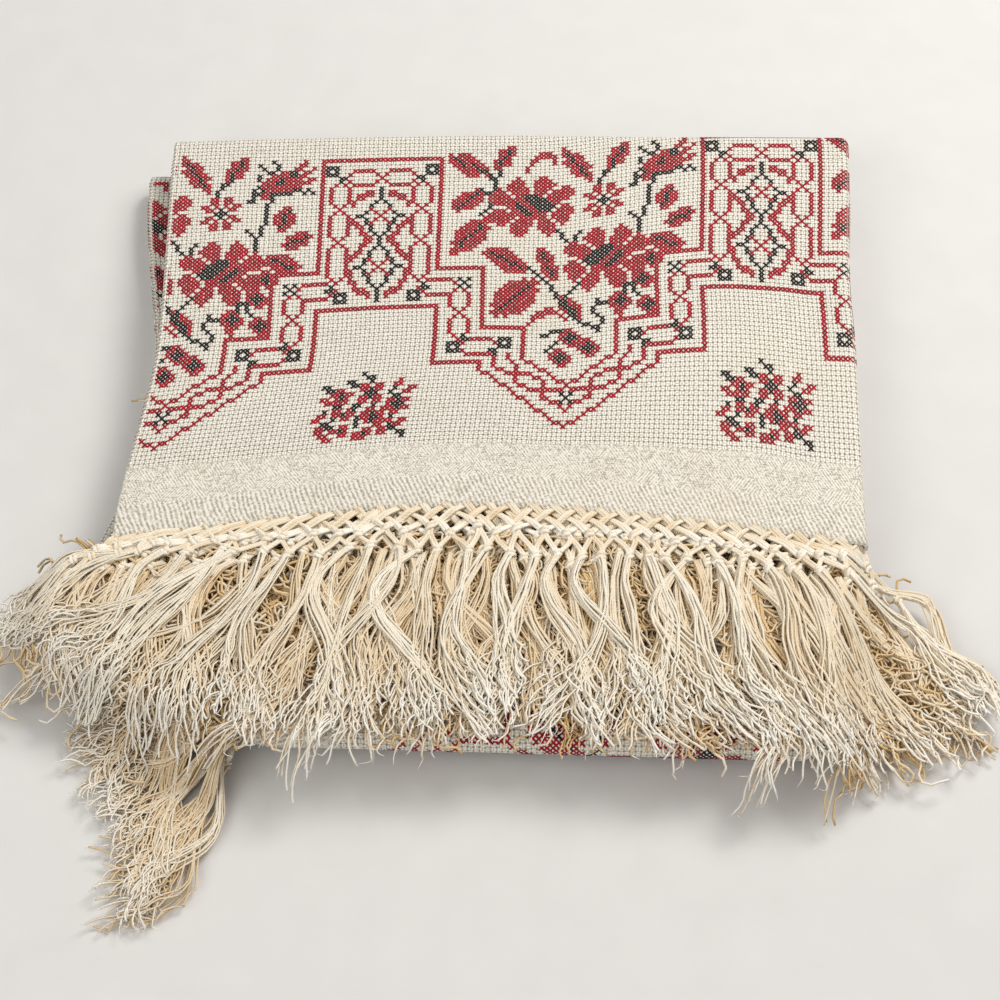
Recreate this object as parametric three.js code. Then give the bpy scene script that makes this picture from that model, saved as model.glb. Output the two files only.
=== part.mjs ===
// A square fringed tablecloth, folded in four across and then in four along, lying on a table.
// Millimetres, +Z up. The origin is on the flat underside, at the middle of the folded pack.
// X runs to the right along the front hem and Y runs from the front of the pack to its back.

import * as THREE from 'three';

// Driving sizes
const CLOTH_THICKNESS = 1.4;
const LAYER_PITCH = 2.0;
const LAYERS_PER_PANEL = 4;
const PANEL_PITCH = 8.8;
const FRINGE_LENGTH = 113;
const HEADING_DEPTH = 23;
const SEWN_GAP = 0.3;
const INNER_FOLD_INSET = 6;

// Grid counts
const FLAT_STEPS = 4;
const SMALL_FOLD_STEPS = 4;
const OUTER_FOLD_STEPS = 6;
const PANEL_FOLD_STEPS = 6;
const TEETH_PER_STEP = 2;
const TOOTH_SHARE = 0.68;
const SHOWN_TOOTH_STEPS = 3;
const HIDDEN_TOOTH_STEPS = 2;

// Tolerances: the underside is made exactly flat, and a tooth is known by its middle
const FLAT_WITHIN = 1e-6;
const TOOTH_WITHIN = 0.1;

// Colours
const CREAM_CLOTH = 0xe6dcc3;
const CREAM_YARN = 0xeee4c8;
const CLOTH_ROUGHNESS = 0.9;

// Worked out from the driving sizes
const STACK = (LAYERS_PER_PANEL - 1) * LAYER_PITCH + CLOTH_THICKNESS;
const PANEL_FOLD_RADIUS = PANEL_PITCH / 2;
const PANEL_FOLD_REACH = PANEL_FOLD_RADIUS + STACK / 2;
const SMALL_FOLD_RADIUS = LAYER_PITCH / 2;
const OUTER_FOLD_RADIUS = LAYER_PITCH * 1.5;
const TEETH_PER_RUN = FLAT_STEPS * TEETH_PER_STEP;

// Hems and folds that run across the pack: rows of x and how far along Y the line lies there
const FOLD_LINES = {
  frontHem: [[-176, -77], [-120, -69], [-60, -61], [-10, -59], [50, -63], [110, -71], [167, -80]],
  backFold: [[-166, 165], [20, 168], [178, 166]],
  frontFold: [[-194, -124], [-112, -172], [135, -179]],
  innerBackFold: [[-180, 160], [172, 157]],
  farHem: [[-165, -52], [166, -46]],
};

// Edges of the layers, a row for each place along the cloth from the front hem (0) over the folds
// (1, 2 and 3) to the far hem (4): the left and right folds and the two free side edges, along X
const LAYER_EDGES = [
  { along: 0.0, left: -176, right: 167, firstEdge: -48, lastEdge: -58 },
  { along: 0.5, left: -164, right: 171, firstEdge: -46, lastEdge: -52 },
  { along: 1.0, left: -166, right: 178, firstEdge: -44, lastEdge: -50 },
  { along: 1.5, left: -163, right: 162, firstEdge: -46, lastEdge: -60 },
  { along: 2.0, left: -194, right: 135, firstEdge: -70, lastEdge: -112 },
  { along: 2.5, left: -166, right: 160, firstEdge: -50, lastEdge: -62 },
  { along: 3.0, left: -180, right: 172, firstEdge: -46, lastEdge: -52 },
  { along: 3.5, left: -170, right: 172, firstEdge: -44, lastEdge: -50 },
  { along: 4.0, left: -165, right: 166, firstEdge: -44, lastEdge: -50 },
];

// Soft swelling of the pack, as a share of the height
const SWELL_MIDDLE = 0.07;
const SWELL_WAVE = 0.02;
const SWELL_REACH = 190;
const SWELL_WAVE_X = 47;
const SWELL_WAVE_Y = 61;

// Lie of the fringe: how far it fans out, swings forward at the corner and falls past the pack
const FAN_AT_TIPS = 0.32;
const CORNER_SWING = THREE.MathUtils.degToRad(68);
const CORNER_SPREAD = THREE.MathUtils.degToRad(26);
const CORNER_REACH = 42;
const CORNER_EASE = 8;
const END_SHORTENING = 0.3;
const FALL_START = 14;
const FALL_REACH = 60;
const FALL_KEEP = 0.78;
const FALL_DEPTH = 16;
const FLOOR_KEEP = 0.12;

function smooth(t) {
  const c = Math.min(1, Math.max(0, t));
  return c * c * (3 - 2 * c);
}

// Value at a place between the rows of a table, with the ease given from row to row
function between(rows, at, ease) {
  const last = rows.length - 1;
  if (at <= rows[0][0]) return rows[0][1];
  if (at >= rows[last][0]) return rows[last][1];
  const k = rows.findIndex(([place]) => place > at) - 1;
  const [[from, low], [to, high]] = [rows[k], rows[k + 1]];
  return low + (high - low) * ease((at - from) / (to - from));
}

function foldLine(name, x) {
  return between(FOLD_LINES[name], x, (share) => share);
}

function layerEdge(name, along) {
  return between(LAYER_EDGES.map((row) => [row.along, row[name]]), along, smooth);
}

// Height of a layer above the middle of its panel, counted from the top layer
function layerHeight(layer) {
  return ((LAYERS_PER_PANEL - 1) / 2 - layer) * LAYER_PITCH;
}

// Across the cloth, in its own order: flat layers, counted from the top, and the folds between them.
// A fold turns to the right (+1) or left (-1) and runs from one layer to another.
const ACROSS = [
  { flat: 2, from: 'firstEdge', to: 'innerRight' },
  { turn: +1, at: 'innerRight', fromLayer: 2, toLayer: 1, steps: SMALL_FOLD_STEPS },
  { flat: 1, from: 'innerRight', to: 'left' },
  { turn: -1, at: 'left', fromLayer: 1, toLayer: 0, steps: SMALL_FOLD_STEPS },
  { flat: 0, from: 'left', to: 'right' },
  { turn: +1, at: 'right', fromLayer: 0, toLayer: 3, steps: OUTER_FOLD_STEPS },
  { flat: 3, from: 'right', to: 'lastEdge' },
];

// Along the cloth, from the front hem: flat panels, counted from the bottom, and the folds between
// them, which turn to the back (+1) or the front (-1) under the panel named
const ALONG = [
  { flat: 3, from: 'frontHem', to: 'backFold' },
  { turn: +1, at: 'backFold', under: 3, steps: PANEL_FOLD_STEPS },
  { flat: 2, from: 'backFold', to: 'frontFold' },
  { turn: -1, at: 'frontFold', under: 2, steps: PANEL_FOLD_STEPS },
  { flat: 1, from: 'frontFold', to: 'innerBackFold' },
  { turn: +1, at: 'innerBackFold', under: 1, steps: PANEL_FOLD_STEPS },
  { flat: 0, from: 'innerBackFold', to: 'farHem' },
];

// Where a flat run starts or stops: at a free edge, or where the fold's arc begins
function acrossStop(name, along) {
  if (name === 'innerRight') return layerEdge('right', along) - INNER_FOLD_INSET - SMALL_FOLD_RADIUS;
  if (name === 'right') return layerEdge('right', along) - OUTER_FOLD_RADIUS;
  if (name === 'left') return layerEdge('left', along) + SMALL_FOLD_RADIUS;
  return layerEdge(name, along);
}

// Place in the stack of layers: x, height in the panel, and the direction that faces out
function acrossPlace(column, along) {
  const run = ACROSS[column.run];
  if (run.flat !== undefined) {
    const from = acrossStop(run.from, along);
    const to = acrossStop(run.to, along);
    const heading = Math.sign(to - from);
    const past = column.past ?? 0;
    const x = from + (to - from) * column.share + heading * past;
    return { x, height: layerHeight(run.flat), outX: 0, outUp: heading };
  }
  const middle = (layerHeight(run.fromLayer) + layerHeight(run.toLayer)) / 2;
  const radius = (Math.abs(run.toLayer - run.fromLayer) * LAYER_PITCH) / 2;
  const rise = Math.sign(run.fromLayer - run.toLayer);
  const angle = rise * Math.PI * (column.share - 0.5);
  const facing = -rise * run.turn;
  return {
    x: acrossStop(run.at, along) + run.turn * radius * Math.cos(angle),
    height: middle + radius * Math.sin(angle),
    outX: facing * run.turn * Math.cos(angle),
    outUp: facing * Math.sin(angle),
  };
}

// Place along the pack at x: the panel's middle line and the direction in which its layers rise
function alongPlace(row, x) {
  const run = ALONG[row.run];
  const foldStop = (name) => {
    if (name === 'frontHem' || name === 'farHem') return foldLine(name, x);
    return foldLine(name, x) + (name === 'frontFold' ? PANEL_FOLD_REACH : -PANEL_FOLD_REACH);
  };
  if (run.flat !== undefined) {
    const from = foldStop(run.from);
    const to = foldStop(run.to);
    const rise = run.flat % 2 === 1 ? 1 : -1;
    const y = from + (to - from) * row.share - (row.past ?? 0);
    return { y, z: run.flat * PANEL_PITCH + STACK / 2, riseY: 0, riseZ: rise };
  }
  const angle = Math.PI * (0.5 - row.share);
  const side = run.turn;
  const middle = (run.under - 0.5) * PANEL_PITCH + STACK / 2;
  return {
    y: foldStop(run.at) + side * PANEL_FOLD_RADIUS * Math.cos(angle),
    z: middle + PANEL_FOLD_RADIUS * Math.sin(angle),
    riseY: Math.cos(angle),
    riseZ: side * Math.sin(angle),
  };
}

// How far along the cloth a row is, in panels
function alongCount(row) {
  const panels = Math.floor(row.run / 2);
  return row.run % 2 === 1 ? panels + 1 : panels + row.share;
}

// Fall of a yarn that reaches past the second panel, which lies under it
function fall(x, y, z) {
  const [back, front] = [foldLine('backFold', x), foldLine('frontFold', x)];
  const along = 1 + Math.min(1, Math.max(0, (back - y) / (back - front)));
  const pastSide = Math.max(0, x - layerEdge('right', along), layerEdge('left', along) - x);
  const past = Math.hypot(Math.max(0, front - y), pastSide) - FALL_START;
  const resting = Math.max(FALL_KEEP * z - FALL_DEPTH, FLOOR_KEEP * z);
  return (z - resting) * smooth(past / FALL_REACH);
}

function swell(x, y) {
  const mound = Math.exp(-(x * x + y * y) / (SWELL_REACH * SWELL_REACH));
  const wave = Math.sin(x / SWELL_WAVE_X) * Math.cos(y / SWELL_WAVE_Y);
  return 1 + SWELL_MIDDLE * mound + SWELL_WAVE * wave;
}

// A point on one face of the folded cloth or fringe: side is +1 on the outer face and -1 on the inner
function smoothPoint(column, row, side, lie) {
  const along = alongCount(row);
  const across = acrossPlace(column, along);
  const lain = lie(across, column, row);
  const place = alongPlace(row, lain.x);
  const offset = side * CLOTH_THICKNESS / 2;
  const middleZ = place.z + across.height * place.riseZ;
  const height = across.height + offset * across.outUp;
  const x = lain.x + offset * across.outX;
  const y = place.y + height * place.riseY + lain.forward;
  const drop = lain.falls ? fall(lain.x, y, middleZ) : 0;
  const z = (place.z + height * place.riseZ - drop) * swell(lain.x, y);
  return new THREE.Vector3(x, y, Math.abs(z) < FLAT_WITHIN ? 0 : z);
}

// The two of the cloth's own grid lines that a line lies between, and its share of the way
function bracket(line) {
  const step = Math.min(FLAT_STEPS - 1, Math.floor(line.share * FLAT_STEPS));
  const own = (k) => ({ run: line.run, share: k / FLAT_STEPS });
  return { before: own(step), after: own(step + 1), share: line.share * FLAT_STEPS - step };
}

// The fringe's lines keep to the straight edge between the cloth's own grid lines
function facePoint(column, row, side, lie) {
  const point = smoothPoint(column, row, side, lie);
  const alongHem = row.past !== undefined;
  if (!alongHem && column.past === undefined) return point;
  const line = alongHem ? column : row;
  if (line.run % 2 === 1) return point;
  const edge = alongHem ? { run: row.run, share: row.share } : { run: column.run, share: column.share };
  const onEdge = (own) => (alongHem
    ? smoothPoint(own, edge, side, lieFlat)
    : smoothPoint(edge, own, side, lieFlat));
  const { before, after, share } = bracket(line);
  const straight = onEdge(before).lerp(onEdge(after), share);
  return point.add(straight).sub(onEdge(line));
}

const lieFlat = (across) => ({ x: across.x, forward: 0, falls: false });

// The front fringe fans out to both sides and falls over the pack's edges
function lieFanned(across, column, row) {
  const past = row.past ?? 0;
  const towardsEnd = smooth(Math.abs(across.x) / layerEdge('right', 0));
  const x = across.x * (1 + FAN_AT_TIPS * past / FRINGE_LENGTH);
  const shift = alongPlace(row, x).y - alongPlace(row, across.x).y;
  return { x, forward: past * END_SHORTENING * towardsEnd - shift, falls: true };
}

// The side fringe swings forward where it lies near the pack's front corner
function lieSwung(across, column, row) {
  const past = column.past ?? 0;
  const run = ALONG[row.run];
  const edgeX = across.x + past;
  const y = alongPlace(row, edgeX).y;
  const fromCorner = run.turn === -1 ? 0 : y - foldLine('frontFold', edgeX) - PANEL_FOLD_REACH;
  const touchesFront = run.at === 'frontFold' || run.from === 'frontFold' || run.to === 'frontFold';
  const atCorner = touchesFront ? smooth((CORNER_REACH - fromCorner) / CORNER_EASE) : 0;
  const swing = atCorner * (CORNER_SWING - CORNER_SPREAD * fromCorner / CORNER_REACH);
  const free = Math.max(0, past - SEWN_GAP);
  const x = edgeX - (past - free) - free * Math.cos(swing);
  const shift = alongPlace(row, x).y - y;
  return { x, forward: -free * Math.sin(swing) - shift, falls: touchesFront };
}

// A closed sheet over those cells of a grid that are kept
function sheetSolid(columns, rows, keepCell, lie) {
  const positions = [];
  const indices = [];
  const numbers = new Map();
  const corner = (c, r, side) => {
    const key = `${c},${r},${side}`;
    if (!numbers.has(key)) {
      numbers.set(key, positions.length / 3);
      positions.push(...facePoint(columns[c], rows[r], side, lie).toArray());
    }
    return numbers.get(key);
  };
  const quad = (a, b, c, d) => indices.push(a, b, c, a, c, d);
  const [lastColumn, lastRow] = [columns.length - 1, rows.length - 1];
  const kept = (c, r) => c >= 0 && r >= 0 && c < lastColumn && r < lastRow && keepCell(c, r);
  const wall = (c0, r0, c1, r1) => {
    quad(corner(c0, r0, -1), corner(c1, r1, -1), corner(c1, r1, 1), corner(c0, r0, 1));
  };
  for (let c = 0; c < lastColumn; c += 1) {
    for (let r = 0; r < lastRow; r += 1) {
      if (!kept(c, r)) continue;
      quad(corner(c, r, 1), corner(c + 1, r, 1), corner(c + 1, r + 1, 1), corner(c, r + 1, 1));
      quad(corner(c, r, -1), corner(c, r + 1, -1), corner(c + 1, r + 1, -1), corner(c + 1, r, -1));
      if (!kept(c, r - 1)) wall(c, r, c + 1, r);
      if (!kept(c, r + 1)) wall(c + 1, r + 1, c, r + 1);
      if (!kept(c - 1, r)) wall(c, r + 1, c, r);
      if (!kept(c + 1, r)) wall(c + 1, r, c + 1, r + 1);
    }
  }
  const geometry = new THREE.BufferGeometry();
  geometry.setAttribute('position', new THREE.Float32BufferAttribute(positions, 3));
  geometry.setIndex(indices);
  geometry.computeVertexNormals();
  return geometry;
}

// Grid lines through every run of a section: flat runs are cut at the shares given, folds evenly
function sectionLines(runs, flatShares) {
  return runs.flatMap((run, index) => {
    const shares = run.flat !== undefined ? flatShares : evenShares(run.steps).slice(1, -1);
    return shares.map((share) => ({ run: index, share }));
  });
}

function evenShares(steps) {
  return Array.from({ length: steps + 1 }, (_, k) => k / steps);
}

// Both sides of every tooth, with the cloth's own grid lines, which lie between teeth
function toothShares() {
  const shares = evenShares(FLAT_STEPS);
  const gap = (1 - TOOTH_SHARE) / 2;
  for (let k = 0; k < TEETH_PER_RUN; k += 1) {
    shares.push((k + gap) / TEETH_PER_RUN, (k + 1 - gap) / TEETH_PER_RUN);
  }
  return shares.sort((a, b) => a - b);
}

// A comb's cell from one grid line to the next is a tooth where its middle is near a tooth's middle
function isTooth(lines, k) {
  const [a, b] = [lines[k], lines[k + 1]];
  const middle = ((a.share + b.share) / 2) * TEETH_PER_RUN;
  return a.run === b.run && a.run % 2 === 0 && Math.abs(middle % 1 - 0.5) < TOOTH_WITHIN;
}

// Distances past the sewn edge: the gap, the end of the heading, and the steps down the teeth
function fringePasts(steps) {
  const downTooth = (share) => HEADING_DEPTH + (FRINGE_LENGTH - HEADING_DEPTH) * share;
  return [SEWN_GAP, ...evenShares(steps).map(downTooth)];
}

function clothGeometry() {
  const columns = sectionLines(ACROSS, evenShares(FLAT_STEPS));
  const rows = sectionLines(ALONG, evenShares(FLAT_STEPS));
  return sheetSolid(columns, rows, () => true, lieFlat);
}

// A comb along a hem; the front one is listed from its tips, so that rows follow the cloth
function hemFringeGeometry(front) {
  const columns = sectionLines(ACROSS, toothShares());
  const pasts = fringePasts(front ? SHOWN_TOOTH_STEPS : HIDDEN_TOOTH_STEPS);
  const edge = front ? { run: 0, share: 0 } : { run: ALONG.length - 1, share: 1 };
  const rows = (front ? pasts.reverse() : pasts).map((past) => ({ ...edge, past }));
  const headingRow = front ? rows.length - 2 : 0;
  const keep = (c, r) => r === headingRow || isTooth(columns, c);
  return sheetSolid(columns, rows, keep, front ? lieFanned : lieFlat);
}

// A comb along a side edge; the first edge's is listed from its tips
function sideFringeGeometry(first) {
  const rows = sectionLines(ALONG, toothShares());
  const pasts = fringePasts(first ? HIDDEN_TOOTH_STEPS : SHOWN_TOOTH_STEPS);
  const edge = first ? { run: 0, share: 0 } : { run: ACROSS.length - 1, share: 1 };
  const signed = first ? pasts.reverse().map((past) => -past) : pasts;
  const columns = signed.map((past) => ({ ...edge, past }));
  const headingColumn = first ? columns.length - 2 : 0;
  const keep = (c, r) => c === headingColumn || isTooth(rows, r);
  return sheetSolid(columns, rows, keep, first ? lieFlat : lieSwung);
}

function piece(name, geometry, color) {
  const material = new THREE.MeshStandardMaterial({ color, roughness: CLOTH_ROUGHNESS, metalness: 0 });
  const mesh = new THREE.Mesh(geometry, material);
  mesh.name = name;
  return mesh;
}

const tablecloth = new THREE.Group();
tablecloth.add(piece('cloth', clothGeometry(), CREAM_CLOTH));
tablecloth.add(piece('fringe_front', hemFringeGeometry(true), CREAM_YARN));
tablecloth.add(piece('fringe_far', hemFringeGeometry(false), CREAM_YARN));
tablecloth.add(piece('fringe_inner', sideFringeGeometry(true), CREAM_YARN));
tablecloth.add(piece('fringe_side', sideFringeGeometry(false), CREAM_YARN));

export default tablecloth;
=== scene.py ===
import math
from functools import partialmethod

import bmesh
import bpy
import numpy as np
from mathutils import Matrix, Vector


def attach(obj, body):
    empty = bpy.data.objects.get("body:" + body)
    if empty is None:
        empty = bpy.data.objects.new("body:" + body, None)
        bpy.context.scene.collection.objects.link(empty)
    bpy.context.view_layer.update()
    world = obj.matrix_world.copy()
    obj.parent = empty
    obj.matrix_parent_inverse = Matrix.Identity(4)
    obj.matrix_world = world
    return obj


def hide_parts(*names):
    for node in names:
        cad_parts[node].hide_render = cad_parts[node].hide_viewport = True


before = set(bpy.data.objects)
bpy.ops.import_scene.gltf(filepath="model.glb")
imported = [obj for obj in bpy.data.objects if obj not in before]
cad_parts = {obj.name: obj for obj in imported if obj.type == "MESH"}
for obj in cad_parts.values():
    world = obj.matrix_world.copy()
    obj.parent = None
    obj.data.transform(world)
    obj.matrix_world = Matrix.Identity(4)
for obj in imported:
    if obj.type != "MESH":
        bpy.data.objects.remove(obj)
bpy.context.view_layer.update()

# Sizes of the cloth, in metres, and the seed of everything uneven
MM = 0.001
CELL = 2.3 * MM
CLOTH_THICKNESS = 1.4 * MM
LAYER_PITCH = 2.0 * MM
LAYERS_PER_PANEL = 4
PANEL_PITCH = 8.8 * MM
INNER_FOLD_INSET = 6 * MM
STACK = (LAYERS_PER_PANEL - 1) * LAYER_PITCH + CLOTH_THICKNESS
PANEL_FOLD_RADIUS = PANEL_PITCH / 2
PANEL_FOLD_REACH = PANEL_FOLD_RADIUS + STACK / 2
SMALL_FOLD_RADIUS = LAYER_PITCH / 2
OUTER_FOLD_RADIUS = LAYER_PITCH * 1.5
BAND_CELLS = 16
TWILL_CELLS = 7.5
RIGHT_SIDE = CLOTH_THICKNESS / 2
UNEVEN = np.random.default_rng(41)

# Hems and folds that run across the pack, in millimetres: x, and how far along Y the line lies there
FOLD_LINES = {
    "front_hem": [(-176, -77), (-120, -69), (-60, -61), (-10, -59), (50, -63), (110, -71), (167, -80)],
    "back_fold": [(-166, 168), (20, 172), (178, 170)],
    "front_fold": [(-194, -124), (-112, -172), (135, -179)],
    "inner_back_fold": [(-180, 160), (172, 157)],
    "far_hem": [(-165, -52), (166, -46)],
}

# Edges of the layers along X, in millimetres, at places along the cloth from the front hem (0)
# over the folds (1, 2 and 3) to the far hem (4)
EDGE_PLACES = (0.0, 0.5, 1.0, 1.5, 2.0, 2.5, 3.0, 3.5, 4.0)
LAYER_EDGES = {
    "left": (-176, -164, -166, -163, -194, -166, -180, -170, -165),
    "right": (167, 171, 178, 162, 135, 160, 172, 172, 166),
    "first_edge": (-48, -46, -44, -46, -70, -50, -46, -44, -44),
    "last_edge": (-58, -52, -50, -60, -112, -62, -52, -50, -50),
}

# Across the cloth in its own order: layers counted from the top and the folds between them
ACROSS = (
    {"layer": 2, "ends": ("first_edge", "inner_right"), "length": 209 * MM, "steps": 12},
    {"turn": 1, "at": "inner_right", "layers": (2, 1), "length": 3.2 * MM, "steps": 5},
    {"layer": 1, "ends": ("inner_right", "left"), "length": 328 * MM, "steps": 22},
    {"turn": -1, "at": "left", "layers": (1, 0), "length": 3.2 * MM, "steps": 8},
    {"layer": 0, "ends": ("left", "right"), "length": 340 * MM, "steps": 90},
    {"turn": 1, "at": "right", "layers": (0, 3), "length": 9.5 * MM, "steps": 12},
    {"layer": 3, "ends": ("right", "last_edge"), "length": 222 * MM, "steps": 38},
)

# Along the cloth from the front hem: panels counted from the bottom and the folds under them
ALONG = (
    {"panel": 3, "ends": ("front_hem", "back_fold"), "length": 222 * MM, "steps": 60},
    {"turn": 1, "at": "back_fold", "under": 3, "length": 20 * MM, "steps": 12},
    {"panel": 2, "ends": ("back_fold", "front_fold"), "length": 311 * MM, "steps": 38},
    {"turn": -1, "at": "front_fold", "under": 2, "length": 20 * MM, "steps": 12},
    {"panel": 1, "ends": ("front_fold", "inner_back_fold"), "length": 302 * MM, "steps": 24},
    {"turn": 1, "at": "inner_back_fold", "under": 1, "length": 18 * MM, "steps": 8},
    {"panel": 0, "ends": ("inner_back_fold", "far_hem"), "length": 199 * MM, "steps": 16},
)


def starts(runs):
    return np.concatenate([[0], np.cumsum([run["length"] for run in runs])])


ACROSS_STARTS = starts(ACROSS)
ALONG_STARTS = starts(ALONG)
CLOTH_WIDTH = ACROSS_STARTS[-1]
CLOTH_LENGTH = ALONG_STARTS[-1]
TOP_LAYER = 4
TOP_MIDDLE = ACROSS_STARTS[TOP_LAYER] + ACROSS[TOP_LAYER]["length"] / 2

# Soft troughs and ridges of the pack: x, y, length, width, turn in degrees and height, in millimetres
CREASES = (
    (-120, -40, 110, 9, 12, -0.9),
    (-60, -48, 90, 8, 4, 0.8),
    (70, -46, 130, 10, -6, -0.8),
    (120, -30, 90, 12, 62, 0.9),
    (-140, 60, 150, 11, 82, 0.8),
    (30, 60, 170, 16, 86, -0.6),
    (100, 120, 120, 12, 20, 0.6),
    (-40, 130, 140, 13, -14, -0.6),
    (150, 40, 150, 10, 84, -0.9),
    (0, 10, 200, 15, 8, 0.5),
)
CREASE_SHARE = 1.8
PACK_HEIGHT = 36
MIDDLE_SWELL = 0.07
MIDDLE_REACH = 190
WAVE_SWELL = 0.02
WAVE_ACROSS = 47
WAVE_ALONG = 61

# Rows of the top panel lie further back on the right, and a little forward past the hem
DRAWN_BACK = 17 * MM
DRAWN_FROM = 10 * MM
DRAWN_REACH = 110 * MM
DRAWN_FORWARD = 2.5 * MM
FORWARD_REACH = 60 * MM
DRAWN_UNTIL = 242 * MM
DRAWN_FADE = 150 * MM


def ease(share):
    share = np.clip(share, 0, 1)
    return share * share * (3 - 2 * share)


def unit(vectors):
    return vectors / np.linalg.norm(vectors, axis=-1, keepdims=True)


def table_value(places, values, at, eased):
    places = np.array(places, float)
    values = np.array(values, float)
    at = np.clip(at, places[0], places[-1])
    k = np.clip(np.searchsorted(places, at, side="right") - 1, 0, len(places) - 2)
    share = (at - places[k]) / (places[k + 1] - places[k])
    if eased:
        share = ease(share)
    return values[k] + (values[k + 1] - values[k]) * share


def fold_line(name, x):
    """Y of a hem or fold at x, rounded where its straight stretches meet."""
    places, values = zip(*FOLD_LINES[name])
    near = [table_value(places, values, x / MM + shift, False) for shift in (-14, -7, 0, 7, 14)]
    return np.mean(near, axis=0) * MM


def layer_edge(name, along):
    return table_value(EDGE_PLACES, LAYER_EDGES[name], along, True) * MM


def across_stop(name, along):
    if name == "inner_right":
        return layer_edge("right", along) - INNER_FOLD_INSET - SMALL_FOLD_RADIUS
    if name == "right":
        return layer_edge("right", along) - OUTER_FOLD_RADIUS
    if name == "left":
        return layer_edge("left", along) + SMALL_FOLD_RADIUS
    return layer_edge(name, along)


def layer_height(layer):
    return ((LAYERS_PER_PANEL - 1) / 2 - layer) * LAYER_PITCH


def run_of(bounds, at):
    return np.clip(np.searchsorted(bounds, at, side="right") - 1, 0, len(bounds) - 2)


def along_count(v):
    """How far along the cloth a place is, in panels."""
    run = run_of(ALONG_STARTS, v)
    lengths = np.array([r["length"] for r in ALONG])
    share = np.clip((v - ALONG_STARTS[run]) / lengths[run], 0, 1)
    return np.where(run % 2 == 1, run // 2 + 1, run // 2 + share)


def across_place(u, along):
    """x, height in the panel and the direction that faces out, at u across the cloth."""
    x, height, out_x, out_up = (np.zeros(u.shape) for _ in range(4))
    runs = run_of(ACROSS_STARTS, u)
    for number, run in enumerate(ACROSS):
        here = runs == number
        share = (u[here] - ACROSS_STARTS[number]) / run["length"]
        if "layer" in run:
            start, stop = (across_stop(end, along[here]) for end in run["ends"])
            x[here] = start + (stop - start) * share
            height[here] = layer_height(run["layer"])
            out_up[here] = np.sign(stop - start)
            continue
        heights = [layer_height(layer) for layer in run["layers"]]
        radius = abs(heights[0] - heights[1]) / 2
        rise = np.sign(heights[1] - heights[0])
        angle = rise * np.pi * (share - 0.5)
        facing = -rise * run["turn"]
        x[here] = across_stop(run["at"], along[here]) + run["turn"] * radius * np.cos(angle)
        height[here] = sum(heights) / 2 + radius * np.sin(angle)
        out_x[here] = facing * run["turn"] * np.cos(angle)
        out_up[here] = facing * np.sin(angle)
    return x, height, out_x, out_up


def along_stop(name, x):
    if name in ("front_hem", "far_hem"):
        return fold_line(name, x)
    return fold_line(name, x) + (PANEL_FOLD_REACH if name == "front_fold" else -PANEL_FOLD_REACH)


def along_place(v, x):
    """y and z of a panel's middle and the direction in which its layers rise, at v along the cloth."""
    y, z, rise_y, rise_z = (np.zeros(v.shape) for _ in range(4))
    runs = run_of(ALONG_STARTS, v)
    for number, run in enumerate(ALONG):
        here = runs == number
        share = (v[here] - ALONG_STARTS[number]) / run["length"]
        if "panel" in run:
            start, stop = (along_stop(end, x[here]) for end in run["ends"])
            y[here] = start + (stop - start) * share
            z[here] = run["panel"] * PANEL_PITCH + STACK / 2
            rise_z[here] = 1 if run["panel"] % 2 else -1
            continue
        angle = np.pi * (0.5 - share)
        y[here] = along_stop(run["at"], x[here]) + run["turn"] * PANEL_FOLD_RADIUS * np.cos(angle)
        z[here] = (run["under"] - 0.5) * PANEL_PITCH + STACK / 2 + PANEL_FOLD_RADIUS * np.sin(angle)
        rise_y[here] = np.cos(angle)
        rise_z[here] = run["turn"] * np.sin(angle)
    return y, z, rise_y, rise_z


def swell(x, y):
    """Soft swelling of the pack with its creases, as a share of the height."""
    x, y = x / MM, y / MM
    share = 1 + MIDDLE_SWELL * np.exp(-(x * x + y * y) / MIDDLE_REACH ** 2)
    share = share + WAVE_SWELL * np.sin(x / WAVE_ACROSS) * np.cos(y / WAVE_ALONG)
    for at_x, at_y, length, width, turn, height in CREASES:
        c, s = math.cos(math.radians(turn)), math.sin(math.radians(turn))
        lengthways = (x - at_x) * c + (y - at_y) * s
        sideways = (y - at_y) * c - (x - at_x) * s
        fade = np.exp(-(2 * lengthways / length) ** 2 - (sideways / width) ** 2)
        share = share + CREASE_SHARE * height / PACK_HEIGHT * fade
    return share


def drawn(x, v):
    """Place along the cloth with its rows drawn back on the right, where the hem dips."""
    on_right = ease((x - DRAWN_FROM) / DRAWN_REACH)
    back = DRAWN_BACK * on_right * ease(v / DRAWN_REACH) - DRAWN_FORWARD * ease(v / FORWARD_REACH)
    return v + back * (1 - ease((v - DRAWN_UNTIL) / DRAWN_FADE))


def folded(u, v, off):
    """Place of a point of the flat cloth in the folded pack, off its middle by the distance given."""
    u, v, off = np.broadcast_arrays(np.asarray(u, float), np.asarray(v, float), np.asarray(off, float))
    x, height, out_x, out_up = across_place(u, along_count(v))
    y, z, rise_y, rise_z = along_place(drawn(x, v), x)
    height = height + off * out_up
    y = y + height * rise_y
    z = (z + height * rise_z) * swell(x, y)
    return np.stack([x + off * out_x, y, z], axis=-1)


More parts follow.
